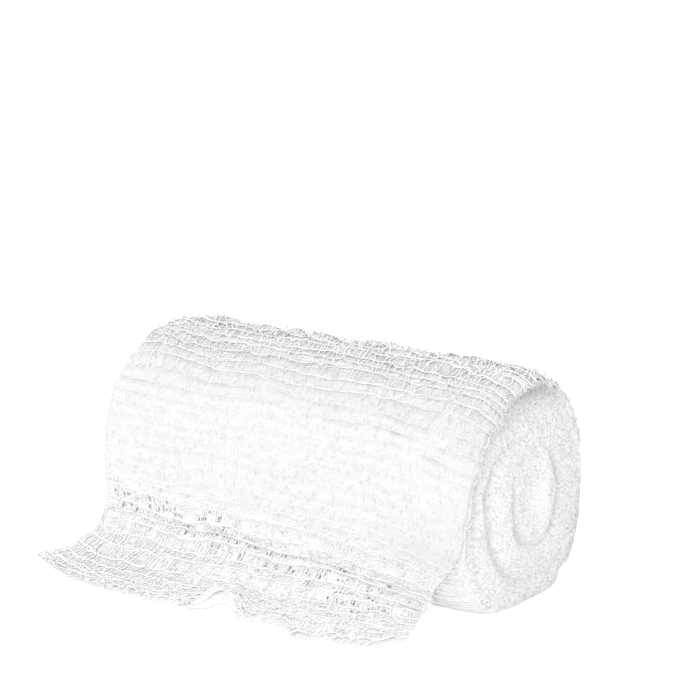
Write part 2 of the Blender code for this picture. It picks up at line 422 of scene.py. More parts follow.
# ---- meshes from arrays ----------------------------------------------------
def signed_volume(points, faces):
    total = 0.0
    for group in faces:
        for corner in range(1, group.shape[1] - 1):
            a, b, c = (points[group[:, k]] for k in (0, corner, corner + 1))
            total += np.einsum("ij,ij->i", a, np.cross(b, c)).sum()
    return total / 6


def placed(name, data):
    """A new object of the scene."""
    made = bpy.data.objects.new(name, data)
    bpy.context.scene.collection.objects.link(made)
    return made


def make_object(name, points, faces, material, drop_and_painted_shade=None, weave=None, row_shadows=None):
    """A smooth mesh object from points in mm and groups of faces with equal corner counts.

    Each point has a painted shade, from 0 to 2, which dims its colour. weave is its place in
    the weave: which row, which rung, and how much painted shade the cells between them get. Each
    point also has how much painted shadow it gets just past each row."""
    points = np.array(points, float).reshape(-1, 3)
    points[:, 2] = np.maximum(points[:, 2], 0.0)
    faces = [np.asarray(group, np.int64) for group in faces if len(group)]
    if signed_volume(points, faces) < 0:
        faces = [group[:, ::-1] for group in faces]
    counts = np.concatenate([np.full(len(group), group.shape[1]) for group in faces])
    corners = np.concatenate([group.ravel() for group in faces])
    data = bpy.data.meshes.new(name)
    data.vertices.add(len(points))
    data.vertices.foreach_set("co", (points * METRES).ravel())
    data.loops.add(len(corners))
    data.loops.foreach_set("vertex_index", corners)
    data.polygons.add(len(counts))
    data.polygons.foreach_set("loop_start", np.concatenate(([0], np.cumsum(counts)[:-1])))
    data.polygons.foreach_set("loop_total", counts)
    data.update(calc_edges=True)
    data.shade_smooth()
    for title, values in (("drop_and_painted_shade", drop_and_painted_shade), ("row_shadows", row_shadows)):
        if values is not None:
            layer = data.attributes.new(title, "FLOAT", "POINT")
            layer.data.foreach_set("value", np.clip(np.asarray(values, float).ravel(), 0, 2))
    if weave is not None:
        layer = data.attributes.new("weave", "FLOAT_VECTOR", "POINT")
        layer.data.foreach_set("vector", np.asarray(weave, float).ravel())
    data.materials.append(material)
    return placed(name, data)


def tubes(centres, normals, radius, sides=YARN_SIDES):
    """Points and faces of closed tubes. centres is (strands, steps, 3)."""
    centres = np.asarray(centres, float)
    strands, steps, _ = centres.shape
    tangent = unit(np.gradient(centres, axis=1))
    side = unit(np.cross(tangent, normals))
    up = np.cross(side, tangent)
    turn = math.pi / 2 + (np.arange(sides) - 0.5) * math.tau / sides
    radius = np.broadcast_to(np.asarray(radius, float), (strands, steps))[..., None, None]
    ring = side[:, :, None] * np.cos(turn)[:, None] + up[:, :, None] * np.sin(turn)[:, None]
    points = centres[:, :, None] + radius * ring
    index = np.arange(strands * steps * sides).reshape(strands, steps, sides)
    after = np.roll(index, -1, axis=2)
    walls = np.stack((index[:, :-1], after[:, :-1], after[:, 1:], index[:, 1:]), -1)
    caps = np.concatenate((index[:, 0, ::-1], index[:, -1]))
    return points.reshape(-1, 3), [walls.reshape(-1, 4), caps]


def join(parts):
    """One set of points and faces from several."""
    all_points, grouped, offset = [], {}, 0
    for points, faces in parts:
        for group in faces:
            grouped.setdefault(group.shape[1], []).append(group + offset)
        all_points.append(points)
        offset += len(points)
    return np.concatenate(all_points), [np.concatenate(groups) for groups in grouped.values()]


# ---- materials -------------------------------------------------------------
def set_inputs(made, values):
    for name, value in values.items():
        made.inputs[name].default_value = value


def node(tree, kind, **inputs):
    made = tree.nodes.new(kind)
    set_inputs(made, inputs)
    return made


def noise(tree, place, scale, detail=2.0):
    made = node(tree, "ShaderNodeTexNoise", Scale=scale, Detail=detail)
    tree.links.new(place, made.inputs["Vector"])
    return made.outputs["Fac"]


def ramp(tree, value, stops):
    made = tree.nodes.new("ShaderNodeValToRGB")
    points = made.color_ramp.elements
    while len(points) < len(stops):
        points.new(1.0)
    for point, (at, colour) in zip(points, stops):
        point.position = at
        point.color = (*colour, 1.0)
    tree.links.new(value, made.inputs["Fac"])
    return made.outputs["Color"]


def maths(tree, operation, first, second=0.0):
    """The output of a math node between two numbers or sockets."""
    made = tree.nodes.new("ShaderNodeMath")
    made.operation = operation
    for socket, value in zip(made.inputs, (first, second)):
        if isinstance(value, float):
            socket.default_value = value
        else:
            tree.links.new(value, socket)
    return made.outputs[0]


def attribute(tree, name):
    """The node that reads one of the mesh's attributes."""
    made = tree.nodes.new("ShaderNodeAttribute")
    made.attribute_name = name
    return made


def clamped(socket):
    """The same output of a math node, kept between 0 and 1."""
    socket.node.use_clamp = True
    return socket


def painted_weave_shade(tree, place):
    """How much painted shade the weave puts on the cloth: most in the middle of a cell, each cell
    by its own amount, and a little painted shadow just past each row."""
    add, subtract, times, power = (
        partial(maths, tree, operation)
        for operation in ("ADD", "SUBTRACT", "MULTIPLY", "POWER")
    )
    split = tree.nodes.new("ShaderNodeSeparateXYZ")
    tree.links.new(attribute(tree, "weave").outputs["Vector"], split.inputs["Vector"])
    row, rung, cell_shade_amount = (split.outputs[axis] for axis in "XYZ")
    finer = clamped(times(subtract(row, FINER_FROM), FINER_RATE))
    past_row = subtract(1.0, maths(tree, "FRACT", row))
    row, rung = (
        add(value, times(noise(tree, place, scale), sway))
        for value, (scale, sway) in zip((row, rung), CELL_SWAY)
    )
    half_rows = times(row, 2.0)
    own = tree.nodes.new("ShaderNodeTexWhiteNoise")
    cell = tree.nodes.new("ShaderNodeCombineXYZ")
    tree.links.new(maths(tree, "FLOOR", half_rows), cell.inputs["X"])
    tree.links.new(maths(tree, "FLOOR", rung), cell.inputs["Y"])
    tree.links.new(cell.outputs["Vector"], own.inputs["Vector"])
    whole, half, between = (
        maths(tree, "ABSOLUTE", maths(tree, "SINE", times(value, math.pi)))
        for value in (row, half_rows, rung)
    )
    across = add(whole, times(subtract(half, whole), finer))
    cell_shade = power(times(across, between), add(times(finer, 0.9), 0.4))
    spread = times(power(own.outputs["Value"], 2.0), CELL_SPREAD)
    cell_shade = times(times(cell_shade, cell_shade_amount), add(spread, CELL_LEAST))
    row_shadow_line = times(attribute(tree, "row_shadows").outputs["Fac"], power(past_row, ROW_SHADOW_POWER))
    uneven = clamped(times(subtract(noise(tree, place, 110.0), 0.38), 7.0))
    return add(cell_shade, times(row_shadow_line, uneven))


def cotton(name, shade, bright, grain, bump_height, glow=0.0, patch=1300.0):
    """Matt cotton: a colour that varies softly, dimmed by the mesh's painted shade and by painted
    shade in its weave, and a fuzz of fibres as bump. patch and grain are the scales of the two."""
    material = bpy.data.materials.new(name)
    material.use_nodes = True
    tree = material.node_tree
    shader = tree.nodes["Principled BSDF"]
    set_inputs(shader, {
        "Roughness": 0.92,
        "Sheen Weight": 0.25,
        "Sheen Roughness": 0.6,
        "Specular IOR Level": 0.15,
        "Subsurface Weight": glow,
        "Subsurface Radius": (1.0, 1.0, 1.0),
        "Subsurface Scale": 0.0008,
    })
    place = tree.nodes.new("ShaderNodeTexCoord").outputs["Object"]
    colour = ramp(tree, noise(tree, place, patch, 4.0), ((0.30, shade), (0.70, bright)))
    # the mesh's painted shade, plus the painted shade of its weave
    crease_and_painted_shade = maths(tree, "ADD", attribute(tree, "drop_and_painted_shade").outputs["Fac"], painted_weave_shade(tree, place))
    stops = [(drop_and_painted_shade / 2, (light,) * 3) for drop_and_painted_shade, light in enumerate(SHADE_RAMP)]
    dim = ramp(tree, maths(tree, "MULTIPLY", crease_and_painted_shade, 0.5), stops)
    mix = tree.nodes.new("ShaderNodeMix")
    mix.data_type = "RGBA"
    mix.blend_type = "MULTIPLY"
    mix.inputs["Factor"].default_value = 1.0
    colour_a, colour_b = (k for k in mix.inputs if k.type == "RGBA")
    tree.links.new(colour, colour_a)
    tree.links.new(dim, colour_b)
    mixed = next(k for k in mix.outputs if k.type == "RGBA")
    tree.links.new(mixed, shader.inputs["Base Color"])
    fibres = noise(tree, place, grain, 3.0)
    bump = node(tree, "ShaderNodeBump", Strength=0.6, Distance=bump_height * METRES)
    tree.links.new(fibres, bump.inputs["Height"])
    tree.links.new(bump.outputs["Normal"], shader.inputs["Normal"])
    return material


# How far the cells are shifted at random, by rows and by rungs. Columns: scale, amount
CELL_SWAY = ((700.0, 0.9), (450.0, 2.6))
CELL_LEAST = 0.35              # how much painted shade the least of them gives
CELL_SPREAD = 1.5              # how much more the most does
FINER_FROM = 24.0              # from this row on the cells become half as long
FINER_RATE = 0.25              # and how much of the way with each row
ROW_SHADOW_POWER = 5.0                # how narrow the painted shadow line just past a row is
SHADE_RAMP = (1.0, 0.60, 0.35)    # the share of the colour left where the painted shade is 0, 1 and 2
GROUND_SHADE = (0.912, 0.912, 0.912)
GROUND_BRIGHT = (0.955, 0.955, 0.95)
END_SHADE = (0.875, 0.875, 0.875)
END_BRIGHT = (0.985, 0.985, 0.98)
YARN_SHADE = (0.90, 0.90, 0.90)
YARN_BRIGHT = (0.96, 0.96, 0.955)
ROW_BRIGHT = (0.99, 0.99, 0.985)

ground_cotton = cotton("ground_cotton", GROUND_SHADE, GROUND_BRIGHT, 2600.0, 0.12, glow=0.3)
end_cotton = cotton("end_cotton", END_SHADE, END_BRIGHT, 2200.0, 0.20, glow=0.3, patch=2400.0)
yarn_cotton = cotton("yarn_cotton", YARN_SHADE, YARN_BRIGHT, 6000.0, 0.04)
# A lighter copy of the yarn cotton: painted light on the rows and loose loops, which stand out and
# catch the light
lit_row_cotton = cotton("lit_row_cotton", YARN_BRIGHT, ROW_BRIGHT, 6000.0, 0.03)


# ---- the ground cloth of the loose turn ------------------------------------
ACROSS_LINES = 170
RUN_STEPS = ((0, 52, 1.6), (52, 122, 0.85), (122, STRIP_RUN, 0.65))    # from, to, step
HOLE_TRIES = 40000
WELL_DEPTH = 0.35              # how far down the plies below show in the gaps
WELL_SHADE = (1.0, 1.9)        # the painted shade on their floors: least, most
# Cells along the run and across it that one gap takes up
HOLE_SHAPES = ((1, 1), (1, 1), (2, 1), (2, 1), (2, 2), (1, 2))
YARN_DIMMED = 0.85             # the yarns get this share of the cloth's painted shade
FOLD_SHADE = 0.5               # how much painted shade a fold's slope puts on its far side
GAP_SHADE = 0.4                # how much more painted shade the cells get where there are gaps
# Where the open weave shows gaps.
# Columns: share, run, half-width across, half-width along, strength
HOLE_CLUMPS = (
    (0.03, 131.5, 3.0, 3.0, 0.35),
    (0.10, 133.5, 3.5, 2.5, 0.35),
    (0.20, 134.5, 5.0, 2.2, 0.5),
    (0.32, 136.5, 6.0, 2.8, 0.35),
    (0.45, 139.0, 7.0, 3.0, 0.5),
    (0.57, 142.0, 4.0, 3.0, 0.6),
    (0.69, 142.0, 3.5, 2.5, 0.35),
    (0.77, 143.0, 5.0, 3.0, 0.4),
    (0.78, 149.0, 4.0, 3.0, 0.35),
    (0.85, 147.0, 4.5, 4.5, 0.45),
    (0.90, 146.0, 4.0, 4.0, 0.3),
)


def gappy(share, run):
    """How likely a gap is there."""
    most = 0.0
    for at, middle, wide, long, strength in HOLE_CLUMPS:
        clump = strength * bell((share - at) * ROLL_WIDTH, wide) * bell(run - middle, long)
        most = np.maximum(most, clump)
    return most


def run_lines():
    lines = [np.arange(low, high, step) for low, high, step in RUN_STEPS]
    return np.concatenate((*lines, [STRIP_RUN]))


def kept_cells(shares, runs):
    """Which cells of the ground cloth's grid are its top. The rest are gaps between yarns, where
    a ply below shows."""
    draw = np.random.default_rng(SEED + 1)
    kept = np.ones((len(runs) - 1, len(shares) - 1), bool)
    taken = np.zeros_like(kept)
    share_mid = (shares[1:] + shares[:-1]) / 2
    run_mid = (runs[1:] + runs[:-1]) / 2
    for _ in range(HOLE_TRIES):
        row = int(draw.integers(3, len(run_mid) - 4))
        column = int(draw.integers(3, len(share_mid) - 4))
        share, run = share_mid[column], run_mid[row]
        near_rung = abs(math.sin(math.pi * share * RUNG_COUNT)) > 0.75
        if near_rung or draw.random() > gappy(share, run) or row_crest(share, run) > 0.6:
            continue
        tall, wide = HOLE_SHAPES[int(draw.integers(0, len(HOLE_SHAPES)))]
        if taken[row - 1:row + tall + 1, column - 1:column + wide + 1].any():
            continue
        kept[row:row + tall, column:column + wide] = False
        taken[row:row + tall, column:column + wide] = True
    return kept


def closed_sheet(outer, inner, kept=None, well=None):
    """Points and faces of a sheet between two grids of points. Where it isn't kept, its top lies
    lower, on a third grid, and has walls."""
    rows, columns = len(outer) - 1, len(outer[0]) - 1
    kept = np.ones((rows, columns), bool) if kept is None else kept
    top = np.arange((rows + 1) * (columns + 1)).reshape(rows + 1, columns + 1)
    corners = np.stack((top[:-1, :-1], top[:-1, 1:], top[1:, 1:], top[1:, :-1]), -1)
    faces = [corners[kept], (corners + top.size).reshape(-1, 4)[:, ::-1]]
    padded = np.pad(kept, 1)
    whole = np.pad(np.ones_like(kept), 1)
    here, before, after = slice(1, -1), slice(None, -2), slice(2, None)
    around = (
        ((before, here), 0, 1),
        ((here, after), 1, 2),
        ((after, here), 2, 3),
        ((here, before), 3, 0),
    )
    for beside, first, second in around:
        a, b = corners[~whole[beside]][:, first], corners[~whole[beside]][:, second]
        faces.append(np.stack((b, a, a + top.size, b + top.size), -1))
    points = [outer.reshape(-1, 3), inner.reshape(-1, 3)]
    if not kept.all():
        used = np.unique(corners[~kept])
        low = np.full(top.size, -1)
        low[used] = 2 * top.size + np.arange(len(used))
        points.append(well.reshape(-1, 3)[used])
        faces.append(low[corners[~kept]])
        for beside, first, second in around:
            wall = kept & ~padded[beside] & whole[beside]
            a, b = corners[wall][:, first], corners[wall][:, second]
            faces.append(np.stack((b, a, low[a], low[b]), -1))
    return np.concatenate(points), faces


# Painted shade on the weave along the strip, up to where it leaves the roll.
# Columns: run, evenly, in the open cells
ZONES = (
    (0, 0.45, 0.5),
    (48, 0.52, 0.6),
    (60, 0.74, 1.0),
    (70, 0.60, 0.9),
    (78, 0.52, 0.60),
    (86, 0.62, 0.40),
    (94, 0.72, 0.28),
    (104, 0.70, 0.18),
    (114, 0.70, 0.16),
    (124, 0.65, 0.22),
    (132, 0.57, 0.28),
)
FLARE_ZONE = ((0.48, 0.62), (0.15, 0.34))    # the same on the flared part: at its left, right
# Places with more painted shade than that, or painted light where the amount is below 0: where
# across, where along, how much
SHADED_PLACES = (
    (past(0.75, 0.95), close_to(127, 5), 0.16),
    (past(0.34, 0.08), past(146, 156), 0.38),
    (close_to(0.08, 0.07), past(156, 161), 0.30),
    (close_to(0.35, 0.08), close_to(136, 3), -0.20),
    (past(0.62, 0.74), past(163, 168), 0.40),
    (close_to(0.56, 0.10), past(140, 152), -0.14),
)
# More painted shade on the top's right end, evenly: so much more, and so much less in its cells
TOP_RIGHT_SHADE = 0.14
TOP_RIGHT_CELLS = 0.65
# Where the strip leaves the roll it lies in shade, and is dimmed less for it
LEAVING_RUN = 139.0
LEAVING_WIDTH = 4.5
LEAVING_LIGHT = 0.44
# Painted light in a streak that runs askew along a shaded fold of the flared part
STREAK_SHARE = 0.76
STREAK_RUN = 141
STREAK_SKEW = 16
STREAK_LIGHT = 0.25

# Painted shadow on the cloth just past a row: run, amount
ROW_SHADOWS = ((56, 74, 90, 100, 110, 128, 142, 169), (0.2, 0.60, 0.58, 0.30, 0.10, 0.1, 0.1, 0.4))
FOLD_SHADOW_WIDTH = 1.8
# Short folds, with more painted shadow just past them. Columns: share, run, half-length in mm,
# amount
FOLD_SHADOWS = (
    (0.59, 100.0, 5.5, 1.0),
    (0.77, 101.0, 4.5, 0.8),
    (0.23, 92.3, 8.0, 0.7),
    (0.65, 90.0, 6.0, 0.7),
    (0.30, 97.0, 3.5, 0.5),
    (0.06, 103.0, 4.0, 0.6),
    (0.90, 106.0, 3.5, 0.6),
    (0.93, 98.0, 4.5, 0.7),
    (0.45, 83.0, 6.0, 0.5),
)


def zones(share, run):
    """How much painted shade dims the cloth evenly, and how much in its open cells."""
    even, cells = read_table(ZONES, run)
    top_right = smoothstep(0.75, 0.95, share) * bell(run - 68, 12)
    cells = cells * (1 - TOP_RIGHT_CELLS * top_right)
    flared = smoothstep(118 + 15 * share, 138 + 8 * share, run)
    to_right = smoothstep(0.1, 0.8, share)
    (left_even, left_cells), (right_even, right_cells) = FLARE_ZONE
    even = blend(even, blend(left_even, right_even, to_right), flared)
    cells = blend(cells, blend(left_cells, right_cells, to_right), flared)
    even = even + TOP_RIGHT_SHADE * top_right
    even = even - LEAVING_LIGHT * bell(run - LEAVING_RUN, LEAVING_WIDTH)
    for across, along, amount in SHADED_PLACES:
        even = even + amount * across(share) * along(run)
    aside = share - STREAK_SHARE
    streak = bell(aside, 0.12) * bell(run - STREAK_RUN - STREAK_SKEW * aside, 2.5)
    even = even - STREAK_LIGHT * streak
    cells = cells * (1 - smoothstep(STRIP_RUN - 4, STRIP_RUN - 1, run))
    return even, cells + GAP_SHADE * gappy(share, run)


def painted_row_shadows(share, run):
    """How much painted shadow the cloth gets just past the rows."""
    total = np.interp(run, *ROW_SHADOWS)
    for at, middle, half_length, amount in FOLD_SHADOWS:
        fold = bell((share - at) * ROLL_WIDTH, half_length) * bell(run - middle, FOLD_SHADOW_WIDTH)
        total = total + amount * fold
    return total


def shading(share, run):
    """How much painted shade dims the cloth evenly: a little more on the far side of its folds."""
    draw = np.random.default_rng(SEED + 12)
    even, _ = zones(share, run)
    slope = ridge_height(share, run + 1) - ridge_height(share, run - 1)
    slope = slope * (1 - smoothstep(86, 100, run))
    specks = 0.045 - 0.020 * smoothstep(88, 98, run) * (1 - smoothstep(122, 130, run))
    return even - FOLD_SHADE * slope + specks * draw.normal(0, 1, share.shape)


def yarn_shading(share, run):
    """How much painted shade dims the yarns: only where the front is."""
    even, _ = zones(share, run)
    return even * YARN_DIMMED * smoothstep(68, 108, run) * (1 - smoothstep(120, 134, run))


def make_ground():
    shares, runs = np.linspace(0, 1, ACROSS_LINES), run_lines()
    share, run = np.meshgrid(shares, runs)
    height = ground_height(share, run)
    outer = on_strip(share, run, height)
    inner = on_strip(share, run, height - GROUND_THICKNESS)
    well = on_strip(share, run, height - WELL_DEPTH)
    points, faces = closed_sheet(outer, inner, kept_cells(shares, runs), well)
    # painted shade: the same on both faces, and more on the floors of the gaps
    crease_and_painted_shade = shading(share, run).ravel()
    weave = np.stack((row_coordinate(share, run), share * RUNG_COUNT, zones(share, run)[1]), -1)
    weave = weave.reshape(-1, 3)
    row_shadows = painted_row_shadows(share, run).ravel()
    in_wells = len(points) - 2 * len(crease_and_painted_shade)
    draw = np.random.default_rng(SEED + 14)
    drop_and_painted_shade = np.concatenate((crease_and_painted_shade, crease_and_painted_shade, draw.uniform(*WELL_SHADE, in_wells)))
    weave = np.concatenate((weave, weave, np.zeros((in_wells, 3))))
    row_shadows = np.concatenate((row_shadows, row_shadows, np.zeros(in_wells)))
    return make_object("gauze_ground", points, faces, ground_cotton, drop_and_painted_shade, weave, row_shadows)


# The lower plies of the cut end, bare where the upper ones are pushed up. They rise to a crest
# under the upper ones and fall from it to their own edge.
# Columns: x, y and z of the crest, y and z of the edge
LOWER_PLY = (
    (-17.0, -46.6, 0.7, -48.4, 0.4),
    (-14.0, -46.4, 0.9, -48.6, 0.4),
    (-12.0, -45.8, 1.8, -48.5, 0.5),
    (-10.4, -45.2, 3.2, -47.8, 0.6),
    (-8.5, -44.4, 4.3, -46.9, 0.9),
    (-6.8, -43.8, 5.0, -46.3, 1.9),
    (-4.3, -43.0, 5.2, -46.0, 2.4),
    (-2.9, -42.6, 4.6, -46.2, 2.3),
    (-1.4, -42.8, 3.2, -46.7, 1.9),
    (1.4, -44.6, 1.5, -47.7, 1.2),
    (4.4, -46.8, 0.9, -48.8, 0.6),
    (7.0, -46.8, 0.7, -48.2, 0.4),
)
LOWER_PLY_REACH = 12.0         # how far they go on under the upper plies
ply_crumple = waves(8, ((2.5, 9), (2, 7)))


def make_lower_ply():
    xs = np.linspace(LOWER_PLY[0][0], LOWER_PLY[-1][0], 96)
    crest_y, crest_z, edge_y, edge_z = (value[None] for value in read_table(LOWER_PLY, xs))
    back = np.linspace(1, 0, 18)[:-1, None]
    front = np.linspace(0, 1, 30)[:, None]
    halfway_z = (crest_z + edge_z) / 2
    y = np.concatenate((
        crest_y + LOWER_PLY_REACH * back,
        bezier((crest_y, crest_y - 1.3, edge_y - 0.3, edge_y), front),
    ))
    z = np.concatenate((
        0.4 + (crest_z - 0.4) * smoothstep(1, 0, back),
        bezier((crest_z, crest_z, halfway_z, edge_z), front),
    ))
    x = np.broadcast_to(xs, y.shape)
    weave = 0.07 * np.sin(x * 4.8 + 0.8 * ply_crumple(x, y)) + 0.16 * ply_crumple(x, y * 2 + z)
    outer = np.stack((x, y - 0.5 * weave, np.maximum(z + weave, 0.45)), -1)
    inner = np.stack((x, y + 0.25, np.maximum(z - 0.35, 0.08)), -1)
    points, faces = closed_sheet(outer, inner)
    # evenly dimmed by painted shade
    return make_object("lower_ply", points, faces, ground_cotton, np.full(len(points), 0.6))


# ---- yarns of the loose turn -----------------------------------------------
def across_yarn(share, place, offset, lift, radius):
    """One yarn that runs across the strip, offset in mm along it."""
    run = run_of_warped(share, np.full(share.shape, place)) + offset
    run = np.clip(run, 0.3, STRIP_RUN - 0.15)
    height = ground_height(share, run) + lift
    return tubes(on_strip(share, run, height)[None], strip_normal(share, run)[None], radius)


def make_rows():
    """The yarns that stand out as rows across the strip, each with a companion or two."""
    draw = np.random.default_rng(SEED + 2)
    share = np.linspace(-0.002, 1.002, 180)
    x = share * ROLL_WIDTH
    wobble = waves(11, ((2.5, 9), (0.5, 3)))
    wander = waves(12, ((16, 60), (0.5, 3)))
    parts, painted_shades = [], []
    for number, place in enumerate(ROWS):
        tag = number * 7.0
        run = np.full(share.shape, place)
        calm = 1 - liveliness(share, run)
        # painted shade on the yarns, a share of the cloth's
        drop_and_painted_shade = np.repeat(yarn_shading(share, run), YARN_SIDES)
        flared = float(smoothstep(126, 140, place))
        thick = ROW_RADIUS * (0.6 + 0.4 * ROW_STRENGTH[number]) * (1.1 - 0.2 * calm + 0.2 * flared)
        lift = 0.26 - 0.42 * calm + 0.14 * flared + (0.05 + 0.12 * flared) * wobble(x, tag + 40)
        parts.append(across_yarn(share, place, 0.2 * wobble(x, tag), lift, thick))
        painted_shades.append(drop_and_painted_shade)
        for _ in range(int(draw.integers(1, 3))):
            tag = draw.uniform(0, 900)
            reach = draw.choice((0.35, 0.5, 1.5), p=(0.4, 0.3, 0.3))
            offset = draw.uniform(-0.2, 0.2) + reach * wander(x, tag) + 0.10 * wobble(x, tag)
            lift = 0.20 - 0.33 * calm + 0.07 * wobble(x, tag + 70)
            parts.append(across_yarn(share, place, offset, lift, COMPANION_RADIUS))
            painted_shades.append(drop_and_painted_shade)
    return make_object("gauze_rows", *join(parts), lit_row_cotton, np.concatenate(painted_shades))


def make_fine_rows():
    """Thin yarns across the strip that lie in the cloth between the rows."""
    share = np.linspace(0.0, 1.0, 110)
    x = share * ROLL_WIDTH
    wobble = waves(13, ((2.5, 9), (0.5, 3)))
    parts, painted_shades = [], []
    for number, place in enumerate(ROWS[:-1]):
        gap = ROWS[number + 1] - place
        for part in (0.33, 0.66) if place > 84 else (0.5,):
            tag = number * 5.0 + part * 20
            offset = part * gap + 0.3 * wobble(x, tag)
            run = np.full(share.shape, place + part * gap)
            calm = 1 - liveliness(share, run)
            lift = 0.07 - 0.16 * calm + 0.05 * wobble(x, tag + 30)
            parts.append(across_yarn(share, place, offset, lift, FINE_RADIUS))
            # painted shade on the yarns, a share of the cloth's
            painted_shades.append(np.repeat(yarn_shading(share, run), YARN_SIDES))
    return make_object("gauze_fine_rows", *join(parts), yarn_cotton, np.concatenate(painted_shades))


def make_rungs():
    """The crimped yarns that run along the strip: in each gap between rows they arch anew."""
    draw = np.random.default_rng(SEED + 3)
    number = np.arange(RUNG_COUNT)[:, None]
    warped = np.linspace(0.5, STRIP_RUN - 0.2, 270)[None]
    gaps = len(ROWS) + 2
    rise = draw.uniform(-0.6, 1.15, (RUNG_COUNT, gaps))
    sunk = 0.12 * draw.normal(0, 1, (RUNG_COUNT, gaps))
    lean = draw.uniform(-0.6, 0.6, (RUNG_COUNT, gaps))
    over = draw.choice((-0.12, 0.16), (RUNG_COUNT, gaps))
    sway = waves(23, ((3, 12), (0.8, 4)))
    place = (number + 0.5 + 0.25 * draw.uniform(-1, 1, (RUNG_COUNT, 1))) / RUNG_COUNT
    share = np.clip(place + 0.12 * sway(warped, number * 3.1) / ROLL_WIDTH, 0.003, 0.997)
    run = run_of_warped(share, np.broadcast_to(warped, share.shape))
    beat = row_coordinate(share, run) + 1
    gap = np.clip(np.floor(beat).astype(int), 0, gaps - 1)
    at_row = np.clip(np.round(beat).astype(int), 0, gaps - 1)
    across = np.broadcast_to(number, share.shape)
    swell = np.sin(math.pi * (beat % 1)) ** 2
    lively = liveliness(share, run)
    share = share + lean[across, gap] * swell * (0.3 + 0.7 * lively) / ROLL_WIDTH
    share = np.clip(share, 0.002, 0.998)
    sunken = sunk[across, gap] * (0.4 + 0.6 * lively)
    height = ground_height(share, run) - 0.27 + 0.32 * lively + sunken * swell
    height = height + 0.05 * smoothstep(128, 142, run)
    stand = 0.55 + 0.75 * (1 - smoothstep(80, 102, run))
    height = height + stand * lively * np.maximum(rise[across, gap], -0.1) * swell
    height = height + over[across, at_row] * (0.35 + 0.65 * lively) * (1 - swell)
    thick = RUNG_RADIUS + 0.035 * (1 - smoothstep(76, 92, run)) + 0.085 * smoothstep(126, 140, run)
    points, faces = tubes(on_strip(share, run, height), strip_normal(share, run), thick)
    # painted shade on the yarns, a share of the cloth's
    drop_and_painted_shade = np.repeat(yarn_shading(share, run).ravel(), YARN_SIDES)
    return make_object("gauze_rungs", points, faces, yarn_cotton, drop_and_painted_shade)


def arches(feet, outward, along, width, rise, radius, steps=5):
    """Small loops of yarn that stand on a surface, one for each foot point."""
    turn = np.linspace(-0.25, math.pi + 0.25, steps)
    reach = (width / 2)[:, None] * np.cos(turn)
    lift = rise[:, None] * np.sin(turn)
    centres = feet[:, None] + along[:, None] * reach[..., None] + outward[:, None] * lift[..., None]
    flat = unit(np.cross(along, outward))[:, None]
    return tubes(centres, np.broadcast_to(flat, centres.shape), radius)


def turned(first, second, angle):
    """Unit vectors turned from the first direction towards the second."""
    return unit(first * np.cos(angle)[:, None] + second * np.sin(angle)[:, None])


LOOSE_LOOPS = 700
FLARE_CURLS = 2300
TOP_LOOPS = 420
TUFT_LOOPS = 210               # so many of them stand in tufts on the roll's upper outline
# Columns: share, run, how far the tuft spreads across in mm
TOP_TUFTS = (
    (0.09, 68, 1.5),
    (0.21, 65, 1.6),
    (0.33, 66, 2.2),
    (0.39, 66, 1.8),
    (0.54, 64, 1.2),
    (0.58, 63.5, 1.2),
    (0.65, 64, 2.5),
    (0.82, 66, 4.0),
    (0.92, 68, 4.0),
)
EDGE_LOOP_PITCH = 1.0
CUT_YARNS = 760                # ends of yarn at the cut end


def loop_places(draw):
    """share and run of the loops: those all over the roll, then the flared end's, then the
    top's, of which some stand in tufts."""
    share = draw.uniform(0.01, 0.99, LOOSE_LOOPS)
    run = draw.uniform(4, 98, LOOSE_LOOPS)
    curl_share = draw.uniform(0.005, 0.995, FLARE_CURLS)
    curl_run = STRIP_RUN - 0.6 - 38 * draw.uniform(0, 1, FLARE_CURLS) ** 1.4
    curl_run = curl_run - 5 * smoothstep(0.6, 0.75, curl_share) * smoothstep(160, 168, curl_run)
    top_share = draw.uniform(0.02, 0.985, TOP_LOOPS)
    top_run = draw.normal(66, 7, TOP_LOOPS)
    tuft = draw.integers(0, len(TOP_TUFTS), TUFT_LOOPS)
    at, middle, wide = (np.array(column)[tuft] for column in zip(*TOP_TUFTS))
    at = at + wide * draw.normal(0, 1, TUFT_LOOPS) / ROLL_WIDTH
    top_share[:TUFT_LOOPS] = np.clip(at, 0.01, 0.99)
    top_run[:TUFT_LOOPS] = middle + 1.6 * draw.normal(0, 1, TUFT_LOOPS)
    return (
        np.concatenate((share, curl_share, top_share)),
        np.concatenate((run, curl_run, top_run)),
    )


def make_loose_loops():
    """Loops of yarn pulled out of the weave, mostly over the top and on the flared end."""
    draw = np.random.default_rng(SEED + 5)
    share, run = loop_places(draw)
    count = len(run)
    flat = np.arange(count) >= LOOSE_LOOPS
    flat[-TOP_LOOPS:] = False
    feet = on_strip(share, run, ground_height(share, run) + np.where(flat, 0.22, 0.05))
    normal = strip_normal(share, run)
    along = unit(strip_middle(share, run + 0.5) - strip_middle(share, run - 0.5))
    across = np.cross(normal, along)
    heading = turned(along, across, draw.normal(0, 0.8, count) * np.where(flat, 3.0, 1.0))
    outward = turned(normal, heading, draw.normal(0, 0.35, count))
    lying = turned(normal, np.cross(normal, heading), draw.choice((-1.25, 1.25), count))
    outward = np.where(flat[:, None], lying, outward)
    width = draw.uniform(0.6, 1.5, count) * np.where(flat, 1.1, 1.0)
    rise = draw.uniform(0.3, 0.75, count) * np.where(flat, 0.7, 1.0)
    rise[-TOP_LOOPS:] = draw.uniform(0.6, 1.5, TOP_LOOPS)
    thick = np.full((count, 1), 0.115)
    thick[-TOP_LOOPS:] = 0.13
    loops = arches(feet, outward, heading, width, rise, thick)
    return make_object("loose_loops", *loops, lit_row_cotton)


